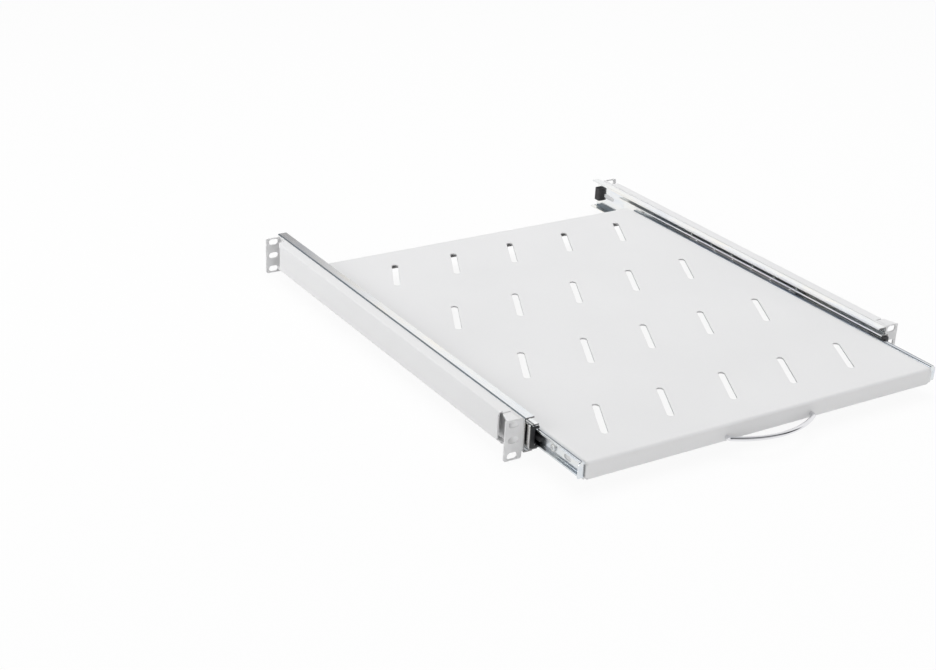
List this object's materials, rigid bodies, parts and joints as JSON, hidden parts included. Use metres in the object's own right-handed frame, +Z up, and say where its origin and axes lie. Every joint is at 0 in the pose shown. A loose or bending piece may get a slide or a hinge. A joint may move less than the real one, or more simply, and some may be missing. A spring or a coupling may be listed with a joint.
{
  "type": "sliding rack shelf",
  "caption": "Pull-out rack shelf: slotted steel tray with a bow handle, on telescopic ball-bearing slides between folded side rails with slotted rack ears at both ends.",
  "frame": {"origin": "centre of the front rack-hole pattern, in the front face of the front ears", "axes": "+X to the right seen from the front, +Y to the rear of the rack, +Z up"},
  "size_m": [0.4826, 0.6003, 0.041],
  "materials": {
    "tray_paint": "light grey powder coat",
    "rail_paint": "light grey powder coat",
    "handle_chrome": "polished",
    "slide_zinc": "bright zinc plate",
    "cage_steel": "zinc plate",
    "ball_steel": "ground and polished",
    "fastener_zinc": "zinc plate",
    "stop_plastic": "moulded black",
    "bumper_rubber": "black"
  },
  "bodies": {
    "rails": {"left_side_rail": "rail_paint", "left_rail_rivets": "fastener_zinc", "left_outer_member": "slide_zinc", "left_bumper": "bumper_rubber", "right_side_rail": "rail_paint", "right_rail_rivets": "fastener_zinc", "right_outer_member": "slide_zinc", "right_bumper": "bumper_rubber"},
    "shelf": {"tray": "tray_paint", "handle": "handle_chrome", "handle_screws": "fastener_zinc", "left_inner_member": "slide_zinc", "left_tray_screws": "fastener_zinc", "left_tray_nuts": "fastener_zinc", "left_lever_pin": "fastener_zinc", "right_inner_member": "slide_zinc", "right_tray_screws": "fastener_zinc", "right_tray_nuts": "fastener_zinc", "right_lever_pin": "fastener_zinc"},
    "left_middle_group": {"left_middle_member": "slide_zinc", "left_end_stop": "stop_plastic"},
    "left_outer_cage_group": {"left_outer_cage": "cage_steel", "left_outer_balls": "ball_steel"},
    "left_inner_cage_group": {"left_inner_cage": "cage_steel", "left_inner_balls": "ball_steel"},
    "left_lever": {"left_release_lever": "stop_plastic"},
    "right_middle_group": {"right_middle_member": "slide_zinc", "right_end_stop": "stop_plastic"},
    "right_outer_cage_group": {"right_outer_cage": "cage_steel", "right_outer_balls": "ball_steel"},
    "right_inner_cage_group": {"right_inner_cage": "cage_steel", "right_inner_balls": "ball_steel"},
    "right_lever": {"right_release_lever": "stop_plastic"}
  },
  "joints": [
    {"name": "shelf_slide", "type": "slide", "parent": "rails", "child": "shelf", "axis": [0, -1, 0], "range_m": [-0.076, 0.424]},
    {"name": "left_middle_slide", "type": "slide", "parent": "rails", "child": "left_middle_group", "axis": [0, -1, 0], "range_m": [-0.038, 0.212]},
    {"name": "left_outer_cage_slide", "type": "slide", "parent": "rails", "child": "left_outer_cage_group", "axis": [0, -1, 0], "range_m": [-0.019, 0.106]},
    {"name": "left_inner_cage_slide", "type": "slide", "parent": "rails", "child": "left_inner_cage_group", "axis": [0, -1, 0], "range_m": [-0.057, 0.318]},
    {"name": "left_lever_turn", "type": "hinge", "parent": "shelf", "child": "left_lever", "pos_m": [-0.2126, 0.022, 0.003], "axis": [1, 0, 0], "range_deg": [0, 5], "stiffness_Nm_per_rad": 0.05, "springref_deg": -5.73},
    {"name": "right_middle_slide", "type": "slide", "parent": "rails", "child": "right_middle_group", "axis": [0, -1, 0], "range_m": [-0.038, 0.212]},
    {"name": "right_outer_cage_slide", "type": "slide", "parent": "rails", "child": "right_outer_cage_group", "axis": [0, -1, 0], "range_m": [-0.019, 0.106]},
    {"name": "right_inner_cage_slide", "type": "slide", "parent": "rails", "child": "right_inner_cage_group", "axis": [0, -1, 0], "range_m": [-0.057, 0.318]},
    {"name": "right_lever_turn", "type": "hinge", "parent": "shelf", "child": "right_lever", "pos_m": [0.2126, 0.022, 0.003], "axis": [1, 0, 0], "range_deg": [0, 5], "stiffness_Nm_per_rad": 0.05, "springref_deg": -5.73}
  ],
  "couplings": [
    {"joint": "left_middle_slide", "follows": "shelf_slide", "ratio": 0.5},
    {"joint": "left_outer_cage_slide", "follows": "shelf_slide", "ratio": 0.25},
    {"joint": "left_inner_cage_slide", "follows": "shelf_slide", "ratio": 0.75},
    {"joint": "right_middle_slide", "follows": "shelf_slide", "ratio": 0.5},
    {"joint": "right_outer_cage_slide", "follows": "shelf_slide", "ratio": 0.25},
    {"joint": "right_inner_cage_slide", "follows": "shelf_slide", "ratio": 0.75}
  ]
}
